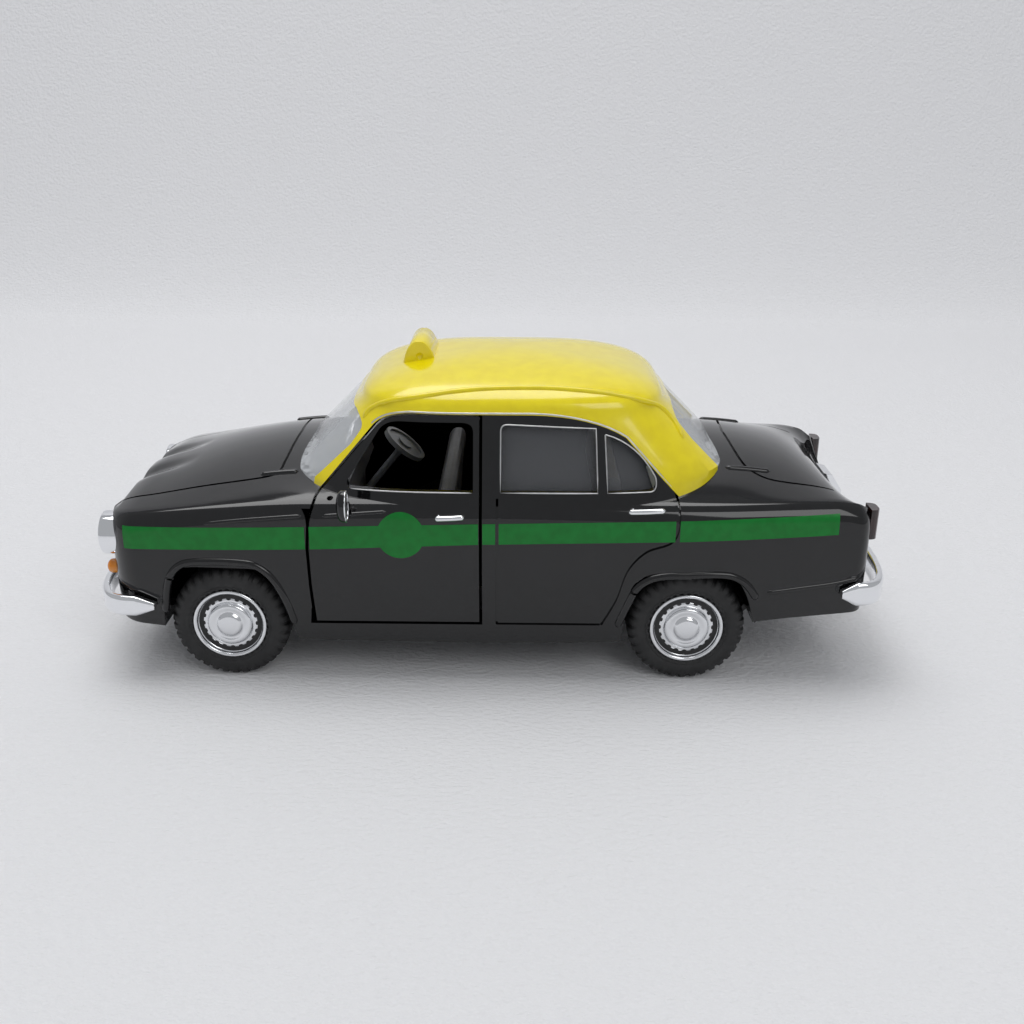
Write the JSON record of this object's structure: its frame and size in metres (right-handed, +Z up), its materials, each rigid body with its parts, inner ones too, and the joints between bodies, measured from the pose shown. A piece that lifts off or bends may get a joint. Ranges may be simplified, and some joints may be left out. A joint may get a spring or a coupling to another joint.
{
  "type": "diecast model car",
  "caption": "Die-cast model of a rounded post-war saloon taxi with opening front doors, rolling wheels and a pull-back spring motor.",
  "frame": {"origin": "centre of the footprint, on the ground under the tyres", "axes": "-X is the front of the car, -Y its left side, +Z up"},
  "size_m": [0.12, 0.0524, 0.0485],
  "materials": {
    "paint_black": "gloss",
    "paint_yellow": "gloss",
    "black_plastic": "satin",
    "grey_plastic": "satin",
    "clear_plastic": "clear",
    "chrome": "bright",
    "amber_plastic": "gloss",
    "lamp_plastic": "gloss",
    "plate_plastic": "satin",
    "steel": "ground",
    "rubber": "matt",
    "nylon": "satin"
  },
  "bodies": {
    "car": {"body_shell": "paint_black", "roof_shell": "paint_yellow", "base_plate": "black_plastic", "interior_tub": "grey_plastic", "steering_wheel": "grey_plastic", "windscreen": "clear_plastic", "rear_window": "clear_plastic", "side_glass_left": "clear_plastic", "side_glass_right": "clear_plastic", "door_pin_left": "steel", "door_pin_right": "steel", "rear_handle_left": "chrome", "rear_handle_right": "chrome", "grille": "chrome", "headlamp_rim_left": "chrome", "headlamp_rim_right": "chrome", "headlamp_lens_left": "clear_plastic", "headlamp_lens_right": "clear_plastic", "sidelight_left": "amber_plastic", "sidelight_right": "amber_plastic", "front_bumper": "chrome", "rear_bumper": "chrome", "tail_lamp_left": "lamp_plastic", "tail_lamp_right": "lamp_plastic", "front_plate": "plate_plastic", "rear_plate": "plate_plastic", "boot_handle": "chrome", "roof_sign": "paint_yellow", "motor_housing": "nylon", "base_screws": "steel"},
    "door_left": {"door_left": "paint_black", "door_handle_left": "chrome", "mirror_left": "black_plastic"},
    "door_right": {"door_right": "paint_black", "door_handle_right": "chrome", "mirror_right": "black_plastic"},
    "front_wheels": {"front_axle": "steel", "rim_front_left": "chrome", "rim_front_right": "chrome", "tyre_front_left": "rubber", "tyre_front_right": "rubber"},
    "rear_wheels": {"rear_axle": "steel", "rim_rear_left": "chrome", "rim_rear_right": "chrome", "tyre_rear_left": "rubber", "tyre_rear_right": "rubber", "axle_pinion": "nylon"},
    "idler": {"idler_gear": "nylon"},
    "drum": {"spring_drum": "nylon", "mainspring": "steel"}
  },
  "joints": [
    {"name": "left_door_hinge", "type": "hinge", "parent": "car", "child": "door_left", "pos_m": [-0.0229, -0.0203, 0.019], "axis": [0, 0, -1], "range_deg": [0, 60]},
    {"name": "right_door_hinge", "type": "hinge", "parent": "car", "child": "door_right", "pos_m": [-0.0229, 0.0203, 0.019], "axis": [0, 0, 1], "range_deg": [0, 60]},
    {"name": "front_axle_spin", "type": "hinge", "parent": "car", "child": "front_wheels", "pos_m": [-0.0389, 0, 0.0088], "axis": [0, 1, 0], "continuous": true},
    {"name": "rear_axle_spin", "type": "hinge", "parent": "car", "child": "rear_wheels", "pos_m": [0.0295, 0, 0.0088], "axis": [0, 1, 0], "continuous": true},
    {"name": "idler_spin", "type": "hinge", "parent": "car", "child": "idler", "pos_m": [0.03033, 0, 0.01353], "axis": [0, 1, 0], "continuous": true},
    {"name": "drum_spin", "type": "hinge", "parent": "car", "child": "drum", "pos_m": [0.03145, 0, 0.01983], "axis": [0, 1, 0], "continuous": true}
  ],
  "couplings": [
    {"joint": "idler_spin", "follows": "rear_axle_spin", "ratio": -0.71429},
    {"joint": "drum_spin", "follows": "rear_axle_spin", "ratio": 0.55556}
  ]
}
